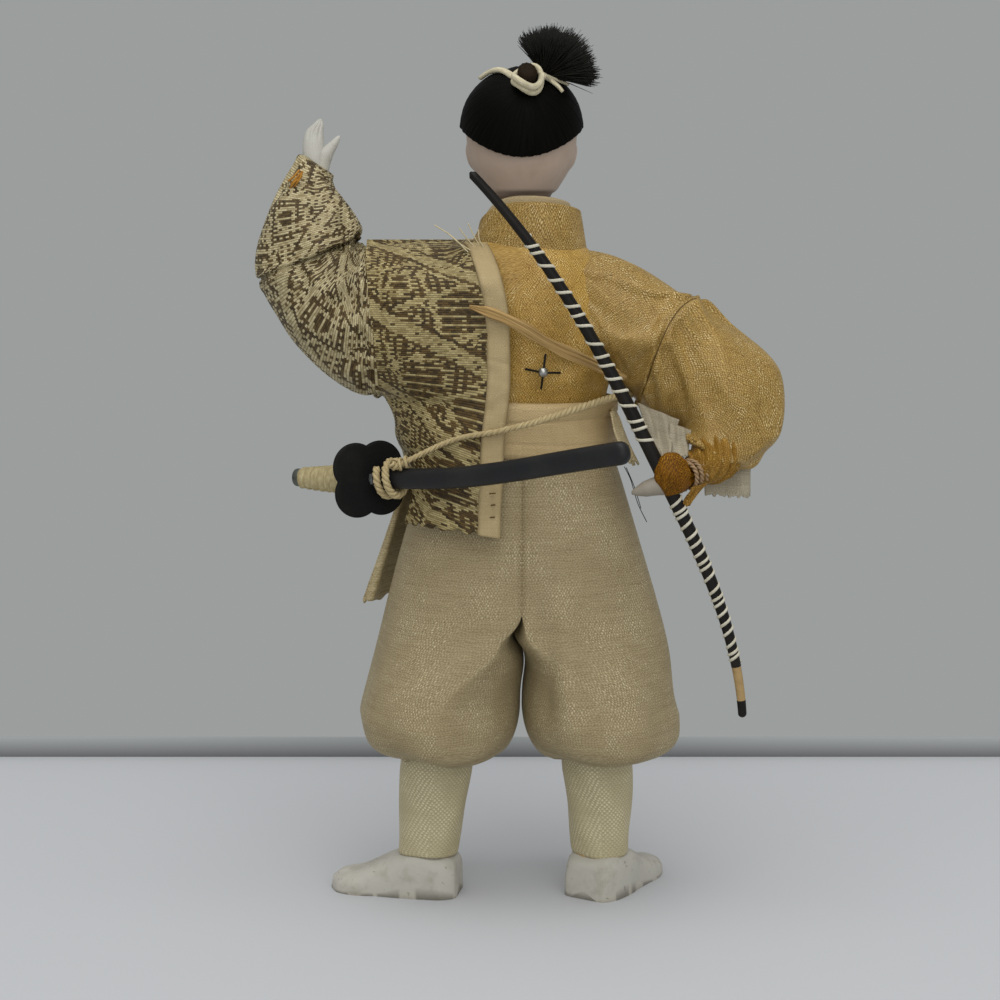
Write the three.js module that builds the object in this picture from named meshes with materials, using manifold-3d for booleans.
// Samurai archer doll: a straw-bodied display doll in silk, bow in its right fist, sword at its left hip.
// Millimetres, +Z up. The doll faces +Y, its right-hand side is +X, the origin is under the middle of its box.
import * as THREE from "three";
import { mergeVertices } from "three/addons/utils/BufferGeometryUtils.js";
import Module from "manifold-3d";

const wasm = await Module();
wasm.setup();

// Driving dimensions

const clearance = 0.3; // gap between a piece and the piece that seats it
const clothWall = 0.8; // thickness of a lined silk layer
const paddingEase = 0.7; // soft filling stops this far inside its cloth
const bodySides = 20; // corners of a ring round the body
const limbSides = 16; // corners of a ring round an arm

// Feet and legs
const leftFoot = { x: -19.6, yaw: 80 }; // ankle on the floor, and how far the toes turn out
const rightFoot = { x: 16.8, yaw: 33 };
const toeReach = 19.5; // ankle to the tip of the toes
const heelReach = 7; // ankle to the back of the heel
const footHalfWidth = 5.9;
const footHeight = 8.3; // floor to the top of the ankle
const legPegRadius = 2.2; // peg that enters the foot
const legPegDepth = 6;
const ankleRadius = 5.4;
const calfRadius = 6.4;
const calfLength = 22;
const thighRodRadius = 3;
const hipSpread = 12.5; // each thigh rod's distance from the middle where it enters the straw
const rodInStraw = 7;

// Hakama trousers
const hemHeight = 30.4; // lowest edge of the cloth
const hemPuff = 8; // hem to the widest level
const hemHalfWidth = 33.6;
const hemHalfDepth = 20.5;
const crotchHeight = 51; // where the two legs part
const waistHeight = 93; // lower edge of the waistband
const waistHalfWidth = 18.2;
const waistHalfDepth = 15.2;
const hakamaTuck = 8; // cloth that runs up under the waistband
const hipHeight = 78; // underside of the straw body

// Waistband and kimono body
const bandHeight = 10.5;
const backLength = 31; // waistband's top edge to the shoulder line
const chestHalfWidth = 18.6;
const chestHalfDepth = 15.4;
const neckHalfWidth = 9.6; // neck opening of the kimono
const neckHalfDepth = 8.6;

// Collar, neck and head
const collarHeight = 7.2;
const collarHalfWidth = 10.6;
const collarShift = 1.6; // the loose collar sits towards the bared right side
const collarWall = 1.2;
const neckRadius = 5.6;
const neckPegRadius = 2;
const neckPegInStraw = 9;
const neckPegInHead = 11;
const headHalfWidth = 11;
const headHalfDepth = 12;
const headHeight = 24.3; // underside of the jaw to the crown
const neckRise = 9; // shoulder line to the underside of the jaw
const hairWall = 1;
const hairSeat = 0.55; // the cap's facets clear the rounder skull by this much
const napeHairline = 8; // hairline above the jaw at the back
const templeHairline = 15;
const browHairline = 17.5;

// Topknot
const knotRootRadius = 2.3;
const knotRootLength = 4.4;
const knotTieRadius = 0.75;
const knotTieLoops = 1.5;
const tuftLength = 8.8;
const tuftSpread = 60; // half angle of the fan
const tuftThickness = 17; // half angle through the fan
const tuftRows = 10; // rows of strands from the middle of the brush to its edge
const tuftRootRadius = 2;

// Left arm, raised
const leftSeamReach = 29.7; // middle of the body to the sleeve seam
const leftSeamDrop = 31; // height of the sleeve seam below the shoulder line
const seamSlant = 1.3; // the seam's lower end lies nearer the body
const leftSleeveHalfDepth = 13;
const leftElbowReach = 53.4;
const leftCuffReach = 42.5;
const leftCuffRise = 15; // cuff above the shoulder line
const leftCuffHalfWidth = 4.9;
const leftCuffForward = 10;
const handLength = 10.5;
const handHalfWidth = 2.9;
const wristPegRadius = 0.9;

// Right arm, bent back to the hip with the bow
const rightSeam = { topReach: 36, topDrop: 11, lowReach: 24, lowDrop: 30 };
const rightElbowReach = 53.6;
const rightElbowDrop = 30;
const rightSleeveHalfDepth = 12;
const gripReach = 27.4; // bow grip: out from the middle, below the shoulder line, behind the middle
const gripDrop = 44.5;
const gripBack = 19;
const fistRadius = 4.6;
const wristRadius = 2.6;
const armWireRadius = 0.8;

// Brocade coat, on the left side only
const coatWall = 1.1;
// Edge of the back panel left of the middle: at the collar, where it bows furthest over, and at the hem
const coatEdge = { top: 8, back: 3.3, hem: 6 };
const coatHem = 14; // back panel below the waistband
const coatFrontHem = 35; // front panel below the waistband
const edgeBandWidth = 4.5;
const edgeBandWall = 0.6;

// Sword
const swordHeading = 33; // plan angle of the scabbard, from across the back towards the rear
const swordRise = 4.7; // slope of the scabbard at the guard, rising to the rear
const swordCurveRadius = 300;
const guardReach = 30.4;
const guardBack = 10.6;
const guardDrop = 4.9; // guard below the waistband's lower edge
const guardHalfSize = 8;
const guardWall = 1;
const guardLean = 30; // the loose guard leans this far off square
const gripLength = 15;
const gripHalfHeight = 2.5;
const gripHalfWidth = 1.9;
const gripWrapLoops = 7;
const gripWrapRadius = 0.45;
const pommelLength = 2;
const scabbardLength = 56;
const scabbardHalfHeight = 2.1;
const scabbardHalfWidth = 1.6;
const bladeLength = 46;
const bladeHalfHeight = 1.2;
const bladeHalfWidth = 0.5;

// Bow
const bowLean = 26.5; // tilt of the grip from upright
const bowPitch = 2.5; // the upper end also leans back
const upperLimb = 69;
const lowerLimb = 49.5;
const upperDrop = 6; // how far each tip bends off the line of the grip
const lowerDrop = 7;
const bowGripRadius = 1.7;
const bowTipRadius = 0.95;
const bindingRadius = 0.32;
const upperBindingLoops = 21;
const lowerBindingLoops = 19;
const upperBareTip = 10;
const lowerBareTip = 9;
const bindingFromGrip = 7;

// Cords and trim
const swordCordRadius = 0.85;
const backCordWidth = 2.2;
const backCordWall = 1;
const studRadius = 1;
const wristCordRadius = 0.5;
const wristCordLoops = 2;

// Levels worked out from the driving dimensions
const bandTop = waistHeight + bandHeight;
const shoulder = bandTop + backLength;
const jaw = shoulder + neckRise;
const crown = jaw + headHeight;
const strawTop = shoulder - 1;

// Geometry helpers

const V = (x, y, z) => new THREE.Vector3(x, y, z);
const rad = THREE.MathUtils.degToRad;
const mix = THREE.MathUtils.lerp;
const turn = (i, n) => (2 * Math.PI * i) / n;
const steps = (n) => Array.from({ length: n + 1 }, (_, i) => i / n);

// A closed surface from points and faces, turned to face outwards.
function surface(points, faces) {
  let volume = 0;
  for (const [a, b, c] of faces) volume += points[a].dot(V().crossVectors(points[b], points[c]));
  const order = volume < 0 ? faces.map(([a, b, c]) => [a, c, b]) : faces;
  const geometry = new THREE.BufferGeometry().setFromPoints(points);
  return geometry.setIndex(order.flat());
}

const bridge = (faces, from, to, n) => {
  for (let j = 0; j < n; j++) {
    const k = (j + 1) % n;
    faces.push([from + j, from + k, to + k], [from + j, to + k, to + j]);
  }
};

// A solid through rings that all have the same number of points, with both ends closed.
function skin(rings) {
  const n = rings[0].length;
  const faces = [];
  rings.slice(1).forEach((_, i) => bridge(faces, i * n, (i + 1) * n, n));
  const points = rings.flat();
  [0, rings.length - 1].forEach((end) => {
    const middle = rings[end].reduce((sum, p) => sum.add(p), V()).divideScalar(n);
    const hub = points.push(middle) - 1;
    for (let j = 0; j < n; j++) {
      const pair = [end * n + j, end * n + ((j + 1) % n)];
      faces.push(end ? [hub, ...pair] : [hub, pair[1], pair[0]]);
    }
  });
  return surface(points, faces);
}

// An open tube with a wall: the outer skin and the inner skin joined at both rims.
function shell(outer, inner) {
  const n = outer[0].length;
  const rings = [...outer, ...[...inner].reverse()];
  const faces = [];
  rings.forEach((_, i) => bridge(faces, i * n, ((i + 1) % rings.length) * n, n));
  return surface(rings.flat(), faces);
}

// A curved plate between two grids of points with the same rows and columns.
function plate(outer, inner) {
  const columns = outer[0].length;
  const rings = outer.map((row, i) => [...row, ...[...inner[i]].reverse()]);
  const n = 2 * columns;
  const faces = [];
  rings.slice(1).forEach((_, i) => bridge(faces, i * n, (i + 1) * n, n));
  [0, rings.length - 1].forEach((end) => {
    for (let j = 0; j < columns - 1; j++) {
      const [a, b] = [end * n + j, end * n + j + 1];
      const [c, d] = [end * n + n - 2 - j, end * n + n - 1 - j];
      faces.push(...(end ? [[a, b, c], [a, c, d]] : [[a, c, b], [a, d, c]]));
    }
  });
  return surface(rings.flat(), faces);
}

// A smooth run of rows of numbers through a few given rows.
function throughRows(rows, count) {
  const curves = [];
  for (let c = 0; c < rows[0].length; c += 3) {
    const points = rows.map((r) => V(r[c], r[c + 1] ?? 0, r[c + 2] ?? 0));
    curves.push(new THREE.CatmullRomCurve3(points, false, "catmullrom", 0.5));
  }
  return steps(count).map((t) => curves.flatMap((k) => k.getPoint(t).toArray()));
}

// A ring that holds two outline points (ax, az) and (bx, bz) and runs front to back about depth y.
function spanRing([ax, az, y, bx, bz, half], inset = 0, sides = limbSides) {
  const middle = V((ax + bx) / 2, y, (az + bz) / 2);
  const reach = V(ax, y, az).sub(middle);
  reach.setLength(Math.max(reach.length() - inset, 0.2));
  const depth = Math.max(half - inset, 0.2);
  return Array.from({ length: sides }, (_, i) => {
    const a = turn(i, sides);
    return middle.clone().addScaledVector(reach, Math.cos(a)).add(V(0, depth * Math.sin(a), 0));
  });
}

// A level ring round the body.
function levelRing([z, wide, deep, x = 0, y = 0], inset = 0, sides = bodySides) {
  return Array.from({ length: sides }, (_, i) => {
    const a = turn(i, sides);
    return V(x + (wide - inset) * Math.cos(a), y + (deep - inset) * Math.sin(a), z);
  });
}

// Rings of a tube along a list of points, its section wide across the points and deep along `flat`.
function tubeRings(points, size, sides, flat = null) {
  const path = points.map((p, i) => {
    const along = V().subVectors(points[Math.min(i + 1, points.length - 1)], points[Math.max(i - 1, 0)]);
    return { p, along: along.normalize() };
  });
  const start = path[0].along;
  const side = flat ? null : V().crossVectors(start, Math.abs(start.z) < 0.9 ? V(0, 0, 1) : V(1, 0, 0));
  return path.map(({ p, along }, i) => {
    const across = flat ? V().crossVectors(along, flat(p)) : side.addScaledVector(along, -side.dot(along));
    across.normalize();
    const up = V().crossVectors(across, along);
    const [wide, deep] = size(i / (path.length - 1));
    return Array.from({ length: sides }, (_, j) => {
      const a = turn(j + 0.5, sides);
      return p.clone().addScaledVector(across, wide * Math.cos(a)).addScaledVector(up, deep * Math.sin(a));
    });
  });
}

const tube = (points, radius, sides = 8) => skin(tubeRings(points, () => [radius, radius], sides));
const smooth = (points, count) => new THREE.CatmullRomCurve3(points).getSpacedPoints(count);

// A turned piece on the line between two points; the profile gives radius and distance along it.
function turned(profile, from, to, segments = limbSides) {
  const lathe = new THREE.LatheGeometry(profile.map(([r, z]) => new THREE.Vector2(r, z)), segments);
  const turnTo = new THREE.Quaternion().setFromUnitVectors(V(0, 1, 0), V().subVectors(to, from).normalize());
  return lathe.applyQuaternion(turnTo).translate(from.x, from.y, from.z);
}

const rod = (radius, from, to, segments = 12) => {
  const length = from.distanceTo(to);
  return turned([[0, 0], [radius, 0], [radius, length], [0, length]], from, to, segments);
};

const ball = (middle, x, y, z, wide = 14, high = 9) =>
  new THREE.SphereGeometry(1, wide, high).scale(x, y, z).translate(middle.x, middle.y, middle.z);

function solidOf(geometry) {
  const plain = geometry.clone();
  plain.deleteAttribute("normal");
  plain.deleteAttribute("uv");
  const merged = mergeVertices(plain, 1e-4);
  const triVerts = new Uint32Array(merged.index.array);
  const vertProperties = merged.attributes.position.array;
  return new wasm.Manifold(new wasm.Mesh({ numProp: 3, vertProperties, triVerts }));
}

function geometryOf(solid) {
  const { vertProperties, triVerts, numProp } = solid.getMesh();
  const geometry = new THREE.BufferGeometry();
  const points = [];
  for (let i = 0; i < vertProperties.length; i += numProp) points.push(...vertProperties.slice(i, i + 3));
  geometry.setAttribute("position", new THREE.BufferAttribute(new Float32Array(points), 3));
  return geometry.setIndex([...triVerts]);
}

const joined = (...geometries) => geometries.map(solidOf).reduce((all, one) => all.add(one));
const largest = (solid) => solid.decompose().reduce((best, one) => (one.volume() > best.volume() ? one : best));
const cut = (piece, ...tools) => {
  const left = tools.reduce((rest, tool) => rest.subtract(solidOf(tool)), solidOf(piece));
  return geometryOf(largest(left));
};
const join = (...geometries) => geometryOf(joined(...geometries));

// The least gap between the turns of a wound tube, from its middle line.
function windingGap(name, points, radius) {
  const apart = 6 * radius;
  const walked = [0];
  points.slice(1).forEach((p, i) => walked.push(walked[i] + p.distanceTo(points[i])));
  let least = Infinity;
  points.forEach((p, i) => {
    for (let j = i + 1; j < points.length; j++)
      if (walked[j] - walked[i] > apart) least = Math.min(least, p.distanceTo(points[j]) - 2 * radius);
  });
  console.log(`${name}: least gap to itself ${least.toFixed(2)} mm`);
}

// Materials

function finish(color, roughness, metalness = 0) {
  return new THREE.MeshStandardMaterial({ color, roughness, metalness });
}
const creamSilk = finish(0xb9a87f, 0.75);
const goldSilk = finish(0xb08a3c, 0.6);
const brocade = finish(0x9c8b68, 0.7);
const paleTrim = finish(0xc6b588, 0.8);
const whiteCloth = finish(0xb9b39c, 0.85);
const shellWhite = finish(0xc9c6bd, 0.5);
const skinWhite = finish(0xcdb9ad, 0.45);
const blackHair = finish(0x15130f, 0.6);
const brownHair = finish(0x30241a, 0.6);
const blackLacquer = finish(0x14130f, 0.4);
const greyLacquer = finish(0x30323a, 0.45);
const tin = finish(0x9a9c9e, 0.35, 1);
const cordSilk = finish(0xb7a67c, 0.85);
const whitePaper = finish(0xd6d0b4, 0.8);
const bareWood = finish(0xa9824f, 0.7);
const straw = finish(0xb39a5a, 0.9);
const cotton = finish(0xd8d2c2, 0.95);
const ironWire = finish(0x55524d, 0.5, 0.8);

const doll = new THREE.Group();
const add = (name, geometry, material, group = doll) => {
  const mesh = new THREE.Mesh(geometry, material);
  mesh.name = name;
  group.add(mesh);
};

// Feet, legs and gaiters

function footForm() {
  const rows = [
    [-heelReach, 0.42, 0.5],
    [-0.78 * heelReach, 0.75, 0.8],
    [-0.2 * heelReach, 0.9, 0.96],
    [0.2 * toeReach, 0.94, 0.9],
    [0.46 * toeReach, 1, 0.68],
    [0.7 * toeReach, 1, 0.52],
    [0.9 * toeReach, 0.76, 0.42],
    [toeReach, 0.3, 0.28],
  ];
  const arch = 7; // flats over the instep from side to side
  const rings = throughRows(rows, 9).map(([x, wide, high]) =>
    steps(arch).map((t) => {
      const a = Math.PI * t;
      const across = Math.sign(Math.cos(a)) * Math.abs(Math.cos(a)) ** 0.7;
      return V(x, wide * footHalfWidth * across, high * footHeight * Math.sin(a) ** 0.7);
    }),
  );
  return skin(rings);
}

const legs = [
  { side: "left", foot: leftFoot, sign: -1 },
  { side: "right", foot: rightFoot, sign: 1 },
].map((leg) => {
  const hipTop = hipHeight + rodInStraw;
  const from = V(leg.foot.x, 0, 0);
  const to = V(leg.sign * hipSpread, 0, hipTop);
  return { ...leg, from, to, length: from.distanceTo(to) };
});

const calfFoot = footHeight + clearance;
const calfTop = calfFoot + calfLength;

function legForm({ from, to, length }, grow = 0) {
  const peg = footHeight - legPegDepth - grow;
  return turned(
    [
      [0, peg],
      [legPegRadius + grow, peg],
      [legPegRadius + grow, calfFoot - grow],
      [ankleRadius + grow, calfFoot - grow],
      [calfRadius + grow, mix(calfFoot, calfTop, 0.75)],
      [calfRadius + grow, calfTop],
      [thighRodRadius + grow, calfTop + calfRadius],
      [thighRodRadius + grow, length + grow],
      [0, length + grow],
    ],
    from,
    to,
  );
}

function gaiterForm({ from, to }) {
  const wall = clearance + clothWall;
  return turned(
    [
      [ankleRadius + clearance, calfFoot],
      [ankleRadius + wall, calfFoot],
      [calfRadius + wall, mix(calfFoot, calfTop, 0.75)],
      [calfRadius + wall, calfTop],
      [calfRadius + clearance, calfTop],
      [calfRadius + clearance, mix(calfFoot, calfTop, 0.75)],
      [ankleRadius + clearance, calfFoot],
    ],
    from,
    to,
  );
}

for (const leg of legs) {
  const heading = new THREE.Matrix4().makeRotationZ(Math.PI / 2 - leg.sign * rad(leg.foot.yaw));
  const ankle = rod(ankleRadius + 0.5, V(0, 0, footHeight / 2), V(0, 0, footHeight));
  const form = join(footForm(), ankle).applyMatrix4(heading).translate(leg.from.x, 0, 0);
  add(`${leg.side}_foot`, cut(form, legForm(leg, clearance)), shellWhite);
  add(`${leg.side}_leg`, legForm(leg), bareWood);
  add(`${leg.side}_gaiter`, gaiterForm(leg), creamSilk);
}

// Hakama trousers with their padding

const hakamaTop = waistHeight + hakamaTuck;
const hemWidest = hemHeight + hemPuff;

// Half width and half depth of the trousers at a height, and how far the legs have parted there.
function hakamaAt(z) {
  const down = THREE.MathUtils.clamp((waistHeight - z) / (waistHeight - hemWidest), 0, 1);
  const under = THREE.MathUtils.clamp((hemWidest - z) / hemPuff, 0, 1);
  const tuckIn = 0.03 * under + 0.3 * under ** 5;
  const wide = mix(waistHalfWidth, hemHalfWidth, down ** 0.9) * (1 - 0.5 * tuckIn);
  const deep = mix(waistHalfDepth, hemHalfDepth, down ** 0.8) * (1 - tuckIn);
  const parted = THREE.MathUtils.smoothstep(crotchHeight + 12 - z, 0, 22);
  return { wide, deep, parted };
}

// One trouser leg: a half oval against the middle seam that rounds off into an oval below the crotch.
function hakamaLeg(sign, bottom, top, inset, seam) {
  const inPuff = [0, 0.06, 0.22, 0.5, 1].map((t) => mix(hemHeight, hemWidest, t));
  const above = [0.16, 0.34, 0.56, 0.8, 1].map((t) => mix(hemWidest, waistHeight, t));
  const between = [...inPuff, ...above, hakamaTop].filter((z) => z > bottom + 0.2 && z < top - 0.2);
  const rings = [bottom, ...between, top].map((z) => {
    const level = THREE.MathUtils.clamp(z - inset * Math.min(inset, 1), hemHeight, hakamaTop);
    const { wide, deep, parted } = hakamaAt(level);
    const [w, d] = [wide - inset, deep - inset];
    return Array.from({ length: bodySides }, (_, i) => {
      const a = turn(i, bodySides);
      const edge = mix(seam, inset + clearance / 2, parted);
      const half = (w - edge) / 2;
      const oval = edge + half + half * Math.cos(a);
      const halfOval = Math.cos(a) > 0 ? edge + (w - edge) * Math.cos(a) : edge;
      return V(sign * mix(halfOval, oval, parted), d * Math.sin(a), z);
    });
  });
  return skin(rings);
}

const legOpening = (leg) => {
  const along = V().subVectors(leg.to, leg.from).normalize();
  const at = (z) => leg.from.clone().addScaledVector(along, z);
  return rod(calfRadius + clothWall + 2 * clearance, at(hemHeight - 8), at(calfTop + 4));
};

const overSeam = -0.6; // the halves run past the middle so that they join
const trousers = [-1, 1].map((sign) => hakamaLeg(sign, hemHeight, hakamaTop, 0, overSeam));
const hollowFoot = hemHeight + clothWall;
const hollows = [-1, 1].map((sign) => hakamaLeg(sign, hollowFoot, hakamaTop + 1, clothWall, overSeam));
add("hakama", cut(join(...trousers), ...hollows, ...legs.map(legOpening)), creamSilk);

for (const leg of legs) {
  const gap = clothWall + paddingEase;
  const filling = hakamaLeg(leg.sign, hemHeight + gap, hipHeight - clearance, gap, clearance);
  add(`${leg.side}_thigh_padding`, cut(filling, legForm(leg, clearance), legOpening(leg)), cotton);
}

// Straw body and gold kimono body

const underHakama = clothWall + clearance;
const kimonoRows = [
  [waistHeight - 3, waistHalfWidth - underHakama, waistHalfDepth - underHakama],
  [bandTop, waistHalfWidth - underHakama, waistHalfDepth - underHakama],
  [bandTop + 0.2 * backLength, chestHalfWidth, chestHalfDepth],
  [bandTop + 0.6 * backLength, chestHalfWidth - 0.6, chestHalfDepth],
  [
    bandTop + 0.87 * backLength,
    mix(neckHalfWidth, chestHalfWidth, 0.62),
    mix(neckHalfDepth, chestHalfDepth, 0.6),
  ],
  [shoulder, neckHalfWidth + clothWall, neckHalfDepth + clothWall],
];
const kimonoLevels = throughRows(kimonoRows, 7);
const kimonoRings = (inset) => kimonoLevels.map((row) => levelRing(row.slice(0, 3), inset));
const kimonoBody = (grow) => skin(kimonoRings(-grow));

function strawForm() {
  const gap = clothWall + clearance;
  const body = kimonoLevels.filter(([z]) => z < strawTop).map((row) => levelRing(row.slice(0, 3), gap));
  const [, wide, deep] = kimonoLevels[0];
  const seat = levelRing([hipHeight, hipSpread + thighRodRadius + 2, deep - gap]);
  const top = levelRing([strawTop, neckHalfWidth - clearance, neckHalfDepth - clearance]);
  const pelvis = levelRing([mix(hipHeight, waistHeight, 0.5), wide - gap, deep - gap]);
  return skin([seat, pelvis, ...body, top]);
}

// Head, hair and topknot

const headRows = [
  [strawTop + clearance, neckRadius - 0.6, neckRadius - 0.6, 0],
  [jaw - 0.5, neckRadius, neckRadius, 0],
  [jaw + 0.08 * headHeight, 0.66 * headHalfWidth, 0.74 * headHalfDepth, 1.2],
  [jaw + 0.28 * headHeight, 0.94 * headHalfWidth, 0.95 * headHalfDepth, 0.6],
  [jaw + 0.52 * headHeight, headHalfWidth, headHalfDepth, 0],
  [jaw + 0.75 * headHeight, 0.9 * headHalfWidth, 0.92 * headHalfDepth, -0.3],
  [jaw + 0.92 * headHeight, 0.58 * headHalfWidth, 0.6 * headHalfDepth, -0.4],
  [crown, 0.12 * headHalfWidth, 0.12 * headHalfDepth, -0.4],
];
const headLevels = throughRows(headRows, 11);
const headRing = ([z, wide, deep, y], inset = 0) => levelRing([z, wide, deep, 0, y], inset);

// A point of the skull at a height share between the hairline there and the crown, pushed out by `out`.
function skullPoint(angle, z, out) {
  const i = headLevels.findIndex(([level]) => level >= z);
  const [low, high] = [headLevels[Math.max(i - 1, 0)], headLevels[i]];
  const t = high[0] > low[0] ? (z - low[0]) / (high[0] - low[0]) : 0;
  const [wide, deep, y] = [1, 2, 3].map((c) => mix(low[c], high[c], t));
  const rise = THREE.MathUtils.clamp((z - jaw) / headHeight, 0, 1);
  const flat = Math.cos((Math.PI / 2) * rise ** 2.2);
  const lift = Math.sqrt(Math.max(1 - flat * flat, 0)) * out;
  return V((wide + out * flat) * Math.cos(angle), y + (deep + out * flat) * Math.sin(angle), z + lift);
}

const hairlineAt = (angle) => {
  const front = Math.sin(angle);
  const toBrow = mix(templeHairline, browHairline, Math.max(front, 0) ** 0.6);
  const toNape = mix(templeHairline, napeHairline, Math.max(-front, 0) ** 1.7);
  return jaw + (front > 0 ? toBrow : toNape);
};

function hairForm(grow = 0) {
  const layers = (out, rows) =>
    rows.map((t) =>
      Array.from({ length: bodySides }, (_, i) => {
        const angle = turn(i, bodySides);
        return skullPoint(angle, mix(crown - 0.02, hairlineAt(angle) - grow, t), out);
      }),
    );
  const down = [0, 0.1, 0.24, 0.42, 0.62, 0.82, 1];
  return skin([...layers(hairSeat + hairWall + grow, down), ...layers(hairSeat - grow, [...down].reverse())]);
}

const skull = skin(headLevels.map((row) => headRing(row)));
const ears = [-1, 1].map((side) =>
  ball(V(side * 0.94 * headHalfWidth, 0, jaw + 0.36 * headHeight), 0.9, 1.5, 2.4, 8, 6),
);
function neckPeg(grow) {
  const foot = strawTop - neckPegInStraw - grow;
  const tip = strawTop + neckPegInHead + grow;
  return rod(neckPegRadius + grow, V(0, 0, foot), V(0, 0, tip));
}
const head = new THREE.Group();
add("head", cut(join(skull, ...ears), neckPeg(clearance)), skinWhite, head);
add("neck_peg", neckPeg(0), bareWood, head);
add("hair_cap", hairForm(), blackHair, head);

const knotAngle = -Math.PI / 2 + 0.08;
const knotSeat = skullPoint(knotAngle, jaw + 0.82 * headHeight, hairSeat + hairWall + clearance);
const knotAxis = V(0.06, -0.78, 0.62).normalize();
const knotAt = (length) => knotSeat.clone().addScaledVector(knotAxis, length);
const knotRoot = turned(
  [
    [0, -1.6],
    [knotRootRadius, -1.6],
    [knotRootRadius, 0.62 * knotRootLength],
    [0.82 * knotRootRadius, 0.85 * knotRootLength],
    [0.45 * knotRootRadius, 0.97 * knotRootLength],
    [0, knotRootLength],
  ],
  knotSeat,
  knotAt(1),
  14,
);
add("topknot_root", cut(knotRoot, hairForm(clearance)), brownHair, head);

// White paper cord: a tail over the left of the crown, loops round the root, and a short tail to the right.
function knotTiePoints() {
  const across = V().crossVectors(knotAxis, V(0, 0, 1)).normalize();
  const up = V().crossVectors(across, knotAxis);
  const radius = knotRootRadius + clearance + knotTieRadius;
  const pitch = 2 * knotTieRadius + 0.75;
  const rise = knotTieRadius + 0.2;
  const loop = steps(12 * knotTieLoops).map((t) => {
    const a = 2 * Math.PI * knotTieLoops * t;
    return knotAt(rise + pitch * t * knotTieLoops)
      .addScaledVector(across, radius * Math.cos(a))
      .addScaledVector(up, radius * Math.sin(a));
  });
  const overHair = (angle, share) =>
    skullPoint(angle, jaw + share * headHeight, hairSeat + hairWall + clearance + knotTieRadius);
  const leftTail = [overHair(Math.PI + 0.3, 0.89), overHair(Math.PI + 0.8, 0.91)];
  const rightTail = [overHair(-0.72, 0.84), overHair(-0.45, 0.79)];
  const [first, last] = [loop[0], loop[loop.length - 1]];
  const clearOf = (p) => p.clone().addScaledVector(V().subVectors(p, knotAt(rise)).normalize(), 1.9);
  const enter = smooth([...leftTail, first], 7).slice(0, -1);
  const leave = smooth([last, clearOf(last), ...rightTail], 8).slice(1);
  return [...enter, ...loop, ...leave];
}
const knotTie = knotTiePoints();
windingGap("topknot_tie", knotTie, knotTieRadius);
add("topknot_tie", tube(knotTie, knotTieRadius, 5), whitePaper, head);

// Brush of hair beyond the tie: a six-sided backing slice whose every second small facet runs out into a strand.
function tuftForm() {
  const seat = skullPoint(-0.9, jaw + 0.955 * headHeight, 0).add(V(-0.9, 0.4, 1.3));
  const axis = V(0.7, -0.14, 0.68).normalize();
  const across = V().crossVectors(axis, V(0, 1, 0)).normalize();
  const through = V().crossVectors(across, axis);
  const place = (u, v, up) =>
    seat
      .clone()
      .addScaledVector(across, tuftRootRadius * u)
      .addScaledVector(through, tuftRootRadius * v)
      .addScaledVector(axis, up);
  const points = [];
  const faces = [];
  const index = new Map();
  const inside = (i, j) => Math.max(Math.abs(i), Math.abs(j), Math.abs(i + j)) <= tuftRows;
  const flatSpot = (i, j) => [(i + j / 2) / tuftRows, ((j * Math.sqrt(3)) / 2) / tuftRows];
  const corner = (i, j) => {
    const key = `${i},${j}`;
    if (!index.has(key)) index.set(key, points.push(place(...flatSpot(i, j), 1)) - 1);
    return index.get(key);
  };
  for (let i = -tuftRows; i < tuftRows; i++)
    for (let j = -tuftRows; j <= tuftRows; j++) {
      const between = [[i + 1, j], [i + 1, j + 1], [i, j + 1]];
      if (between.every((c) => inside(...c))) faces.push(between.map((c) => corner(...c)));
      const root = [[i, j], [i + 1, j], [i, j + 1]];
      if (!root.every((c) => inside(...c))) continue;
      const low = root.map((c) => corner(...c));
      const [u, v] = [0, 1].map((k) => root.reduce((sum, c) => sum + flatSpot(...c)[k] / 3, 0));
      const lean = axis
        .clone()
        .addScaledVector(across, Math.tan(rad(tuftSpread) * u))
        .addScaledVector(through, Math.tan(rad(tuftThickness) * v))
        .normalize();
      const run = lean.multiplyScalar(tuftLength * (0.92 + 0.08 * Math.sin(7.3 * i + 3.1 * j)));
      const high = low.map((k) => points.push(points[k].clone().add(run)) - 1);
      faces.push(high);
      for (let k = 0; k < 3; k++) {
        const [a, b] = [k, (k + 1) % 3];
        faces.push([low[a], low[b], high[b]], [low[a], high[b], high[a]]);
      }
    }
  const turns = [[-1, 1], [-1, 0], [0, -1], [1, -1], [1, 0], [0, 1]];
  const edge = [];
  let spot = [tuftRows, 0];
  for (const [di, dj] of turns)
    for (let k = 0; k < tuftRows; k++) {
      edge.push(spot);
      spot = [spot[0] + di, spot[1] + dj];
    }
  const rim = edge.map((c) => corner(...c));
  const foot = edge.map((c) => points.push(place(...flatSpot(...c), -1.8)) - 1);
  const hub = points.push(place(0, 0, -1.8)) - 1;
  rim.forEach((_, k) => {
    const next = (k + 1) % rim.length;
    faces.push([rim[k], foot[k], foot[next]], [rim[k], foot[next], rim[next]], [hub, foot[next], foot[k]]);
  });
  return surface(points, faces);
}
add("topknot_tuft", cut(tuftForm(), hairForm(clearance)), blackHair, head);
doll.add(head);

// Arm wires

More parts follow.
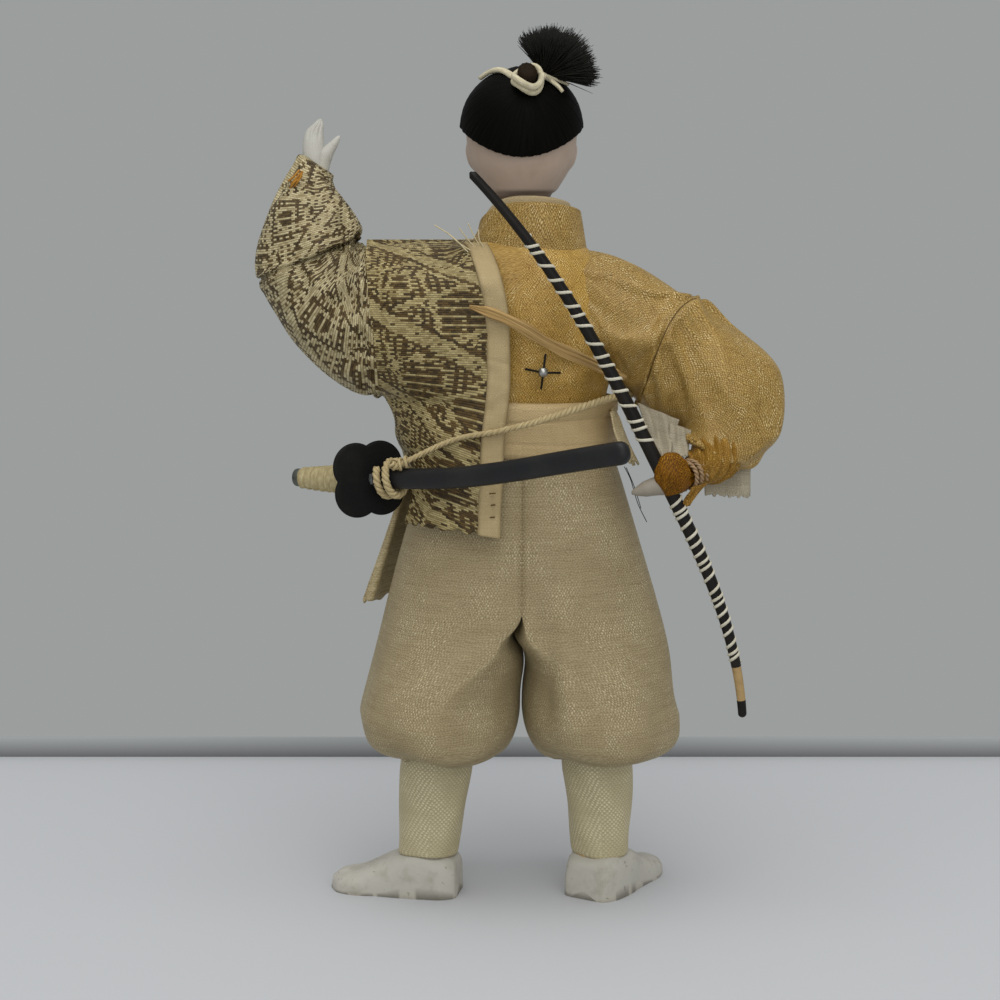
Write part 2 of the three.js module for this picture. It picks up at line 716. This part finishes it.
const rightGrip = V(gripReach, -gripBack, shoulder - gripDrop);
const leftCuff = V(-leftCuffReach, leftCuffForward, shoulder + leftCuffRise);
const leftHandAxis = V(0.08, 0.22, 1).normalize();
const leftWireEnd = leftCuff.clone().addScaledVector(leftHandAxis, 0.3 * handLength);
const wireInStraw = 7;
const leftWirePoints = smooth(
  [
    V(-wireInStraw, 0, shoulder - 14),
    V(-leftSeamReach, 0, shoulder - 13.5),
    V(-0.84 * leftElbowReach, 1.5, shoulder - 9),
    V(-0.82 * leftElbowReach, 6, shoulder + 4),
    leftCuff.clone().addScaledVector(leftHandAxis, -4),
    leftWireEnd,
  ],
  22,
);
const wristAxis = V(-0.72, -0.5, -0.18).normalize(); // from the right sleeve's end into the fist
const fist = rightGrip.clone().add(V(1.6, 0.2, -1.2));
const wristAt = (length) => fist.clone().addScaledVector(wristAxis, -length);
const rightWirePoints = smooth(
  [
    V(wireInStraw, 0, shoulder - 14),
    V(0.6 * rightSeam.topReach, -1, shoulder - 15),
    V(0.78 * rightElbowReach, -3, shoulder - 25),
    V(0.82 * rightElbowReach, -6, shoulder - 34),
    wristAt(9),
    wristAt(fistRadius - 1.4),
  ],
  22,
);
const wire = (points, grow = 0) => tube(points, armWireRadius + grow, 6);
const armWires = [leftWirePoints, rightWirePoints];
const wireHoles = armWires.map((points) => wire(points, clearance));
add("left_arm_wire", wire(leftWirePoints), ironWire);
add("right_arm_wire", wire(rightWirePoints), ironWire);
const legHoles = legs.map((leg) => legForm(leg, clearance));
add("straw_body", cut(strawForm(), neckPeg(clearance), ...wireHoles, ...legHoles), straw);

const kimonoShell = shell(kimonoRings(0), kimonoRings(clothWall));
add("kimono_body", cut(kimonoShell, ...wireHoles), goldSilk);

const bandRings = (inset) =>
  [waistHeight, mix(waistHeight, bandTop, 0.5), bandTop].map((z) =>
    levelRing([z, waistHalfWidth + clearance + clothWall, waistHalfDepth + clearance + clothWall], inset),
  );
add("waistband", shell(bandRings(0), bandRings(clothWall)), paleTrim);

// Collars

function collarForm(halfWidth, shift, bottom, height, wall) {
  const rows = [
    [bottom, halfWidth + 0.6, halfWidth - 0.1],
    [bottom + 0.55 * height, halfWidth + 0.1, halfWidth - 0.3],
    [bottom + height, halfWidth - 0.5, halfWidth - 0.7],
  ].map(([z, wide, deep]) => [z, wide, deep, shift, 0]);
  const rings = (inset) => rows.map((row) => levelRing(row, inset));
  return shell(rings(0), rings(wall));
}
const collarSeat = shoulder + clearance;
const innerCollarHalfWidth = collarHalfWidth - collarWall - clearance - Math.abs(collarShift) / 2;
add("gold_collar", collarForm(collarHalfWidth, collarShift, collarSeat, collarHeight, collarWall), goldSilk);
add(
  "white_inner_collar",
  collarForm(innerCollarHalfWidth - 0.4, 0.25 * collarShift, collarSeat, collarHeight + 0.3, clothWall),
  whiteCloth,
);

// Left sleeve: outline points on the inside of the bend, then on the outside

const leftRun = leftElbowReach - leftSeamReach;
const leftOut = (share) => -leftSeamReach - share * leftRun;
const belowShoulder = (share) => shoulder - share * leftSeamDrop;
const overShoulder = (share) => shoulder + share * leftCuffRise;
const leftUpperRows = [
  [leftOut(0), shoulder, -1, leftOut(0) + seamSlant, belowShoulder(1), leftSleeveHalfDepth],
  [leftOut(0.055), shoulder, -0.6, leftOut(0.3375), belowShoulder(0.9225), leftSleeveHalfDepth],
  [leftOut(0.11), overShoulder(0.02), 0, leftOut(0.654), belowShoulder(0.6935), 0.96 * leftSleeveHalfDepth],
  [leftOut(0.152), overShoulder(0.04), 0.6, leftOut(0.8143), belowShoulder(0.4516), 0.92 * leftSleeveHalfDepth],
  [leftOut(0.169), overShoulder(0.053), 1.5, leftOut(0.958), belowShoulder(0.258), 0.86 * leftSleeveHalfDepth],
];
const creaseGap = 0.6; // the sleeve folds here, over the bend of the elbow
const leftLowerRows = [
  [
    leftOut(0.169),
    overShoulder(0.053) + creaseGap,
    1.6,
    leftOut(0.966),
    belowShoulder(0.258) + creaseGap,
    0.86 * leftSleeveHalfDepth,
  ],
  [leftOut(0.131), overShoulder(0.253), 3, leftOut(1), belowShoulder(0.0774), 0.84 * leftSleeveHalfDepth],
  [leftOut(0.177), overShoulder(0.507), 5, leftOut(0.958), overShoulder(0.307), 0.74 * leftSleeveHalfDepth],
  [
    -leftCuffReach + 1.347 * leftCuffHalfWidth,
    overShoulder(0.733),
    0.76 * leftCuffForward,
    -leftCuffReach - 1.51 * leftCuffHalfWidth,
    overShoulder(0.76),
    0.58 * leftSleeveHalfDepth,
  ],
  [
    -leftCuffReach + leftCuffHalfWidth,
    shoulder + leftCuffRise - 1.3,
    leftCuffForward,
    -leftCuffReach - leftCuffHalfWidth,
    shoulder + leftCuffRise + 1.3,
    leftCuffHalfWidth,
  ],
];
const sleeveRings = (rows, count, inset) => throughRows(rows, count).map((row) => spanRing(row, inset));
const sleeveShell = (rows, count, inset = 0) =>
  shell(sleeveRings(rows, count, inset), sleeveRings(rows, count, inset + clothWall));
add("left_upper_sleeve", sleeveShell(leftUpperRows, 6), brocade);
add("left_lower_sleeve", sleeveShell(leftLowerRows, 6), brocade);

// Padding of the raised arm, from the side of the body to the cuff.
const shoulderRow = (reach, drop, deep) => [-reach, shoulder - 0.8, -1, -reach, shoulder - drop, deep];
const leftPaddingRows = [
  shoulderRow(10, leftSeamDrop - 1, 0.95 * leftSleeveHalfDepth),
  shoulderRow(0.66 * leftSeamReach, leftSeamDrop, leftSleeveHalfDepth),
  ...leftUpperRows,
  ...leftLowerRows.slice(1, -1),
];
const leftPadding = skin(sleeveRings(leftPaddingRows, 14, clothWall + paddingEase));
add("left_arm_padding", cut(leftPadding, kimonoBody(clearance), wireHoles[0]), cotton);

// Left hand: open fingers and a thumb on the end of the wire

function leftHandForm() {
  const at = (x, up, y = 0) => {
    const p = leftCuff.clone().addScaledVector(leftHandAxis, up);
    return V(p.x + x, p.y + y, p.z);
  };
  const ringAt = (x, up, wide, deep, sides = 8) => {
    const p = at(x, up);
    return Array.from({ length: sides }, (_, i) => {
      const a = turn(i, sides);
      return V(p.x + wide * Math.cos(a), p.y + deep * Math.sin(a), p.z);
    });
  };
  const w = handHalfWidth;
  const palm = skin([
    ringAt(0, -0.2 * handLength, 0.7 * w, 0.62 * w),
    ringAt(0, 0.12 * handLength, 0.82 * w, 0.6 * w),
    ringAt(-0.3, 0.42 * handLength, w, 0.58 * w),
    ringAt(-0.4, 0.66 * handLength, 0.86 * w, 0.46 * w),
    ringAt(0, 0.86 * handLength, 0.56 * w, 0.38 * w),
    ringAt(0.4, handLength, 0.26 * w, 0.24 * w),
  ]);
  const thumbLine = [[0.2, 0.3], [1.1, 0.44], [1.75, 0.64]].map(([x, up]) => at(x * w, up * handLength));
  const thumb = skin(
    tubeRings(
      smooth(thumbLine, 5),
      (t) => [mix(1.3, 0.4, t), mix(1.2, 0.4, t)],
      7,
    ),
  );
  return join(palm, thumb);
}
const wristSocket = rod(
  armWireRadius + clearance,
  leftCuff.clone().addScaledVector(leftHandAxis, -0.4 * handLength),
  leftWireEnd.clone().addScaledVector(leftHandAxis, clearance),
);
add("left_hand", cut(leftHandForm(), wristSocket), shellWhite);

// Right sleeve, fist, glove and wrist cord

const rightOut = (share) => share * rightElbowReach;
const rightLow = (share) => share * rightSeam.lowReach;
const belowSeam = (share) => shoulder - share * rightElbowDrop;
const rightUpperRows = [
  [0.367 * rightSeam.topReach, shoulder - 0.6, -1, rightLow(0.792), belowSeam(0.933), 0.98 * rightSleeveHalfDepth],
  [0.667 * rightSeam.topReach, belowSeam(0.12), -1.4, rightLow(0.875), belowSeam(0.98), rightSleeveHalfDepth],
  [
    rightSeam.topReach,
    shoulder - rightSeam.topDrop,
    -2,
    rightSeam.lowReach,
    shoulder - rightSeam.lowDrop,
    rightSleeveHalfDepth,
  ],
];
const wristEnd = wristAt(fistRadius + 4.9);
const rightLowerRows = [
  [
    rightSeam.topReach + creaseGap,
    shoulder - rightSeam.topDrop,
    -2,
    rightSeam.lowReach + creaseGap,
    shoulder - rightSeam.lowDrop - creaseGap,
    rightSleeveHalfDepth,
  ],
  [rightOut(0.843), belowSeam(0.547), -2.6, rightLow(1.125), belowSeam(1.117), 1.02 * rightSleeveHalfDepth],
  [rightOut(0.981), belowSeam(0.8), -3.4, rightLow(1.292), belowSeam(1.2), rightSleeveHalfDepth],
  [rightOut(0.985), belowSeam(1.233), -5, rightLow(1.4), belowSeam(1.267), 0.9 * rightSleeveHalfDepth],
  [rightOut(0.888), belowSeam(1.453), -8.5, rightLow(1.458), belowSeam(1.32), 0.66 * rightSleeveHalfDepth],
  [wristEnd.x + 1.6, wristEnd.z - 2.8, wristEnd.y, wristEnd.x - 1.4, wristEnd.z + 2.6, wristRadius + 0.6],
];
const rightUpper = sleeveShell(rightUpperRows, 5);
add("right_upper_sleeve", cut(rightUpper, kimonoBody(clearance), wireHoles[1]), goldSilk);
add("right_lower_sleeve", sleeveShell(rightLowerRows, 8), goldSilk);
const rightPaddingRows = [...rightUpperRows.slice(1), ...rightLowerRows.slice(1, -1)];
const rightPadding = skin(sleeveRings(rightPaddingRows, 9, clothWall + paddingEase));
add("right_arm_padding", cut(rightPadding, kimonoBody(clearance), wireHoles[1]), cotton);

const bow = new THREE.Group();
bow.position.copy(rightGrip);
bow.rotation.set(rad(bowPitch), rad(-bowLean), 0);
bow.updateMatrix();
const throughFist = [V(0, 0, -2 * fistRadius), V(0, 0, 2 * fistRadius)];
const bowHole = rod(bowGripRadius + clearance, ...throughFist).applyMatrix4(bow.matrix);

// The hand's thumb and knuckles show past the glove.
function rightHandForm() {
  const from = fist.clone().add(V(1.2, 0.4, -0.9));
  const to = fist.clone().add(V(-1.75 * fistRadius, -0.2, -0.42 * fistRadius));
  const middle = from.clone().lerp(to, 0.5).add(V(0, 0, -0.3));
  const size = (t) => [mix(2.2, 0.9, t), mix(2.1, 0.8, t)];
  return skin(tubeRings(smooth([from, middle, to], 6), size, 8));
}
const wristStub = rod(wristRadius - 0.8, wristAt(fistRadius + 5), wristAt(fistRadius - 2.2), 10);
const gloveBall = ball(fist, 0.95 * fistRadius, 0.86 * fistRadius, fistRadius, 10, 7);
const wireEndHole = wireHoles[1];
const handSolid = cut(rightHandForm(), bowHole, wireEndHole);
const handLine = [V(3, 0.6, -1), V(-2.2 * fistRadius, -0.3, -0.5 * fistRadius)].map((p) => p.add(fist));
const handGrown = skin(tubeRings(handLine, () => [2.75, 2.65], 8));
add("right_hand", handSolid, shellWhite);
add("right_glove", cut(join(gloveBall, wristStub), bowHole, wireEndHole, handGrown), goldSilk);

function wristCordPoints() {
  const across = V().crossVectors(wristAxis, V(0, 0, 1)).normalize();
  const up = V().crossVectors(across, wristAxis);
  const radius = wristRadius - 0.8 + clearance + wristCordRadius;
  const pitch = 2 * wristCordRadius + 0.45;
  return steps(11 * wristCordLoops).map((t) => {
    const a = 2 * Math.PI * wristCordLoops * t;
    return wristAt(fistRadius + 0.35 + pitch * wristCordLoops * t - 0.2)
      .addScaledVector(across, radius * Math.cos(a))
      .addScaledVector(up, radius * Math.sin(a));
  });
}
const wristCord = wristCordPoints();
windingGap("wrist_cord", wristCord, wristCordRadius);
add("wrist_cord", tube(wristCord, wristCordRadius, 4), cordSilk);

// Pale lining cloth that hangs out below the gathered sleeve, and the tie end beside it

function hangingCloth(top, bottom, outward, wall, rows = 5) {
  const grid = (side) =>
    steps(rows).map((t) => {
      const along = smooth(top, 12).map((p, i, all) => p.lerp(smooth(bottom, all.length - 1)[i], t));
      return along.map((p, i) => p.addScaledVector(outward, side * wall + 0.45 * t * Math.sin(1.1 * i)));
    });
  return plate(grid(1), grid(0));
}
const liningTop = [V(rightElbowReach - 14, -8, wristEnd.z + 4), V(rightElbowReach - 9.6, -6.6, wristEnd.z + 3)];
const liningLow = [V(rightElbowReach - 15, -9, wristEnd.z - 4), V(rightElbowReach - 8.6, -7.4, wristEnd.z - 4.6)];
const lowerSleeveSolid = skin(sleeveRings(rightLowerRows, 8, -clearance));
const liningSheet = hangingCloth(liningTop, liningLow, V(0, -1, 0), clothWall);
add("right_sleeve_lining", cut(liningSheet, lowerSleeveSolid, ...wireHoles), whiteCloth);

const tieTop = V(waistHalfWidth + clothWall - 0.7, -4.6, bandTop - 2.6); // the band trims it to its clearance
const tieLow = V(waistHalfWidth + 7.4, -8.4, waistHeight - 3.4);
const tieSheet = hangingCloth(
  [tieTop, tieTop.clone().add(V(-0.9, -3.4, -0.6))],
  [tieLow, tieLow.clone().add(V(-1.6, -3.4, 0.4))],
  V(0.95, -0.3, 0),
  clothWall,
);
const waistSolid = skin(bandRings(-clearance));
const tieEnd = cut(tieSheet, waistSolid, lowerSleeveSolid, kimonoBody(clearance), ...trousers);
add("waist_tie_end", tieEnd, whiteCloth);

// Brocade coat: a back panel and a longer front panel over the left shoulder, with a pale edge band

const coatBottom = waistHeight - coatHem;
const overCloth = clothWall + 2 * clearance;

// Outside of what the coat lies on at a height: the sleeve's root above the armpit, the body and waistband below it.
function coatEdgeAt(z) {
  const down = THREE.MathUtils.clamp((shoulder - z) / (shoulder - coatBottom), 0, 1);
  const full = 0.36; // share of the way down where the edge bows furthest over
  return down < full
    ? mix(coatEdge.back, coatEdge.top, (1 - down / full) ** 2)
    : mix(coatEdge.back, coatEdge.hem, ((down - full) / (1 - full)) ** 1.4);
}

function coatRow(z, out, front, count, hem) {
  const coatEdgeReach = front ? coatEdge.back : coatEdgeAt(z);
  const armpit = shoulder - leftSeamDrop;
  const onArm = THREE.MathUtils.smoothstep(z, armpit - 6, armpit + 3);
  const body = hakamaAt(Math.min(z, waistHeight));
  const onChest = THREE.MathUtils.smoothstep(z, bandTop - 4, bandTop + 8);
  const bodyWide = mix(body.wide, chestHalfWidth, onChest) + overCloth;
  const bodyDeep = mix(body.deep, chestHalfDepth, onChest) + overCloth;
  const up = THREE.MathUtils.clamp((z - armpit) / (shoulder - armpit), 0, 1);
  const round = Math.sqrt(Math.max(1 - (2 * up - 1) ** 2, 0));
  const sleeveDeep = 1 + leftSleeveHalfDepth * Math.max(round, 0.12);
  const slope = THREE.MathUtils.smoothstep(z, shoulder - 9, shoulder);
  const reach = mix(bodyWide, leftSeamReach - clearance - seamSlant * (1 - up), onArm);
  const sideDeep = mix(2, sleeveDeep, onArm);
  const middleDeep = mix(bodyDeep, neckHalfDepth + 1.4, slope ** 1.5);
  const flare = front ? 0.06 * Math.max(waistHeight - z, 0) : 0;
  return steps(count).map((t) => {
    const x = mix(coatEdgeReach, reach + flare * t, Math.sin((Math.PI / 2) * t) ** mix(1, 0.9, onArm));
    const s = THREE.MathUtils.clamp((x - coatEdgeReach) / (reach - coatEdgeReach), 0, 1);
    const bulge = mix(Math.sqrt(Math.max(1 - s * s, 0)), 1 - s ** 1.6, onArm);
    const deep = mix(sideDeep, middleDeep, bulge) + out + (front ? 0.05 * Math.max(hem - z, 0) : 0);
    return V(-x - (onArm < 1 ? out * s * (1 - onArm) : 0), front ? deep : -deep, z);
  });
}

function coatPanel(front, bottom, rows, columns) {
  const levels = steps(rows).map((t) => mix(shoulder + 0.6, bottom, t));
  const grid = (out) => levels.map((z) => coatRow(z, out, front, columns, waistHeight));
  return plate(grid(clearance + coatWall), grid(clearance));
}
const grownHem = hemHeight - clearance;
const trousersGrown = [-1, 1].map((sign) => hakamaLeg(sign, grownHem, hakamaTop, -clearance, -clearance));
const coatCuts = [kimonoBody(clearance), ...trousersGrown];
const leftPaddingGrown = skin(sleeveRings(leftPaddingRows, 14, clothWall));
const coatFrontBottom = waistHeight - coatFrontHem;
add("coat_back", cut(coatPanel(false, coatBottom, 11, 7), ...coatCuts, leftPaddingGrown), brocade);
add("coat_front", cut(coatPanel(true, coatFrontBottom, 12, 7), ...coatCuts, leftPaddingGrown), brocade);

function edgeBandForm() {
  const levels = steps(14).map((t) => mix(shoulder + 0.2, coatBottom - 1, t));
  const row = (z, out) => {
    const [edge] = coatRow(z, 0, false, 10, waistHeight);
    return [0, 0.5, 1].map((t) => V(edge.x + edgeBandWidth * (t - 0.5), edge.y - out, z));
  };
  const base = 2.6 * clearance + coatWall;
  return plate(levels.map((z) => row(z, base + edgeBandWall)), levels.map((z) => row(z, base)));
}
add("coat_edge_band", edgeBandForm(), paleTrim);

// Sword: pieces lie on one arc, so the blade draws along its own curve

const sword = new THREE.Group();
sword.position.set(-guardReach, -guardBack, waistHeight - guardDrop);
sword.rotation.order = "ZYX";
sword.rotation.set(0, rad(-swordRise), rad(-swordHeading));
sword.updateMatrix();
const arcPoint = (s, up = 0) => {
  const a = s / swordCurveRadius;
  return V((swordCurveRadius - up) * Math.sin(a), 0, swordCurveRadius - (swordCurveRadius - up) * Math.cos(a));
};
const acrossSword = () => V(0, 1, 0);
const arcBar = (from, to, count, size, sides) =>
  skin(tubeRings(steps(count).map((t) => arcPoint(mix(from, to, t))), size, sides, acrossSword));
const ovalBar = (from, to, count, high, wide, sides = 12) => arcBar(from, to, count, () => [high, wide], sides);

const guardSide = guardWall / 2 + clearance; // the grip and the scabbard stop clear of the guard
const leanRoom = Math.tan(rad(guardLean)) * (scabbardHalfWidth + 0.6);
const scabbardMouth = guardSide + leanRoom;
const roundEnd = (t) => (t < 1 ? 1 : 0.45);
const scabbardOuter = arcBar(
  scabbardMouth,
  scabbardMouth + scabbardLength,
  14,
  (t) => [scabbardHalfHeight * mix(0.94, 1.04, t) * roundEnd(t), scabbardHalfWidth * roundEnd(t)],
  10,
);
const bladeRoom = [bladeHalfHeight + clearance, bladeHalfWidth + clearance];
const bladeSlot = ovalBar(scabbardMouth - 2, bladeLength + 1, 10, ...bladeRoom, 6);
add("scabbard", cut(scabbardOuter, bladeSlot), greyLacquer, sword);
add("sword_blade", ovalBar(-gripLength + 6, bladeLength, 14, bladeHalfHeight, bladeHalfWidth, 6), tin, sword);
const tangHole = ovalBar(-gripLength + 6 - clearance, 4, 6, ...bladeRoom, 6);
const gripStart = -guardSide - leanRoom;
const gripBar = ovalBar(gripStart, gripStart - gripLength, 6, gripHalfHeight, gripHalfWidth);
add("sword_grip", cut(gripBar, tangHole), bareWood, sword);

function gripWrapPoints() {
  const [high, wide] = [gripHalfHeight, gripHalfWidth].map((h) => h + clearance + gripWrapRadius);
  return steps(9 * gripWrapLoops).map((t) => {
    const s = mix(gripStart - 1, gripStart - gripLength + pommelLength / 2, t);
    const a = 2 * Math.PI * gripWrapLoops * t;
    return arcPoint(s, high * Math.sin(a)).add(V(0, wide * Math.cos(a), 0));
  });
}
const gripWrap = gripWrapPoints();
windingGap("grip_wrap", gripWrap, gripWrapRadius);
add("grip_wrap", tube(gripWrap, gripWrapRadius, 4), paleTrim, sword);

const pommelFrom = gripStart - gripLength - clearance;
const pommelSize = (t) => [gripHalfHeight * mix(1.02, 0.72, t * t), gripHalfWidth * mix(1.05, 0.72, t * t)];
add("sword_pommel", arcBar(pommelFrom, pommelFrom - pommelLength, 4, pommelSize, 12), greyLacquer, sword);

// Four-lobed guard, leaning a little on the tang.
function guardForm() {
  const outline = new THREE.Shape(
    Array.from({ length: 48 }, (_, i) => {
      const a = turn(i, 48);
      const r = guardHalfSize * (0.8 + 0.2 * Math.abs(Math.sin(2 * a)) ** 0.6);
      return new THREE.Vector2(r * Math.cos(a), r * Math.sin(a));
    }),
  );
  const disc = new THREE.ExtrudeGeometry(outline, { depth: guardWall, bevelEnabled: false });
  disc.translate(0, 0, -guardWall / 2);
  disc.rotateY(Math.PI / 2).rotateZ(-rad(guardLean));
  return cut(disc, ovalBar(-4, 4, 2, ...bladeRoom, 6));
}
add("sword_guard", guardForm(), blackLacquer, sword);

// Sword cord: round the scabbard's mouth, up to a knot, then round the waist and back to the knot

const swordPoint = (s, up, out) => arcPoint(s, up).add(V(0, out, 0)).applyMatrix4(sword.matrix);
function swordCordPoints() {
  const loops = 2;
  const [high, wide] = [1.06 * scabbardHalfHeight, scabbardHalfWidth].map((h) => h + clearance + swordCordRadius);
  const pitch = 2 * swordCordRadius + 0.5;
  const start = scabbardMouth + swordCordRadius + 0.8;
  const loop = steps(14 * loops).map((t) => {
    const a = Math.PI * 0.75 + 2 * Math.PI * loops * t;
    return swordPoint(start + pitch * loops * t, high * Math.sin(a), wide * Math.cos(a));
  });
  const off = clearance * 2 + coatWall + clothWall + swordCordRadius + 0.6;
  const round = (angle, z, extra = 0) =>
    V(
      -(waistHalfWidth + clothWall + off + extra) * Math.cos(rad(angle)),
      -(waistHalfDepth + clothWall + off + extra) * Math.sin(rad(angle)),
      z,
    );
  const knot = loop[loop.length - 1];
  const route = [
    knot,
    round(55, waistHeight + 4.4, 1.2),
    round(78, waistHeight + 6.6, 1.4),
    round(95, waistHeight + 8, 1.2),
    round(120, waistHeight + 9.6),
    round(150, waistHeight + 10.6),
    round(180, waistHeight + 10.4),
    round(220, waistHeight + 8.6),
    round(270, waistHeight + 6, 1.6),
    round(315, waistHeight + 3.4, 1.8),
    round(352, waistHeight + 2.4, 1.6),
  ];
  return [...loop.slice(0, -1), ...smooth(route, 34)];
}
const swordCord = swordCordPoints();
windingGap("sword_cord", swordCord, swordCordRadius);
add("sword_cord", tube(swordCord, swordCordRadius, 5), cordSilk);

// Bow: a tapered stave whose tips bend off the line of the grip, bound with a pale strip

const stavePoint = (s) => {
  const share = s > 0 ? s / upperLimb : -s / lowerLimb;
  return V(-(s > 0 ? upperDrop : lowerDrop) * share ** 3, 0, s);
};
const staveRadius = (s) => mix(bowGripRadius, bowTipRadius, (s > 0 ? s / upperLimb : -s / lowerLimb) ** 1.3);
const staveRings = steps(20).map((t) => {
  const s = mix(-lowerLimb, upperLimb, t);
  return Array.from({ length: 6 }, (_, i) => {
    const a = turn(i + 0.5, 6);
    return stavePoint(s).add(V(staveRadius(s) * Math.cos(a), staveRadius(s) * Math.sin(a), 0));
  });
});
add("bow_stave", skin(staveRings), blackLacquer, bow);

function bindingPoints(from, to, loops) {
  return steps(9 * loops).map((t) => {
    const s = mix(from, to, t);
    const r = staveRadius(s) + 0.15 + bindingRadius;
    const a = 2 * Math.PI * loops * t;
    return stavePoint(s).add(V(r * Math.cos(a), r * Math.sin(a), 0));
  });
}
const bindings = [
  ["bow_upper_binding", bindingFromGrip, upperLimb - upperBareTip, upperBindingLoops],
  ["bow_lower_binding", -bindingFromGrip, lowerBareTip - lowerLimb, lowerBindingLoops],
];
for (const [name, from, to, loops] of bindings) {
  const points = bindingPoints(from, to, loops);
  windingGap(name, points, bindingRadius);
  add(name, tube(points, bindingRadius, 3), whitePaper, bow);
}
doll.add(sword, bow);

// Cord across the back, and the bead stud below it

function backCordForm() {
  const route = [
    V(-coatEdge.back - 8, -chestHalfDepth - 4.4, shoulder - 11.6),
    V(-coatEdge.back - 2, -chestHalfDepth - 5.6, shoulder - 13),
    V(0, -chestHalfDepth - 5, shoulder - 15.6),
    V(0.28 * chestHalfWidth, -chestHalfDepth - 1.4, shoulder - 19),
    V(0.8 * chestHalfWidth, -0.62 * chestHalfDepth - 4.4, shoulder - 23.6),
    V(1.06 * chestHalfWidth, -0.3 * chestHalfDepth - 6.4, shoulder - 26),
  ];
  const outward = () => V(0, -1, 0);
  return skin(tubeRings(smooth(route, 16), () => [backCordWidth / 2, backCordWall / 2], 8, outward));
}
add("back_cord", cut(backCordForm(), kimonoBody(clearance)), cordSilk);
const studSeat = V(0.22 * chestHalfWidth, -chestHalfDepth * 0.975 - clearance - studRadius, shoulder - 24.6);
add("back_stud", ball(studSeat, studRadius, studRadius, studRadius, 10, 7), tin);

// Stand the doll with the middle of its box over the origin

const box = new THREE.Box3().setFromObject(doll);
const middle = box.getCenter(V());
doll.position.set(-middle.x, -middle.y, -box.min.z);
export default doll;
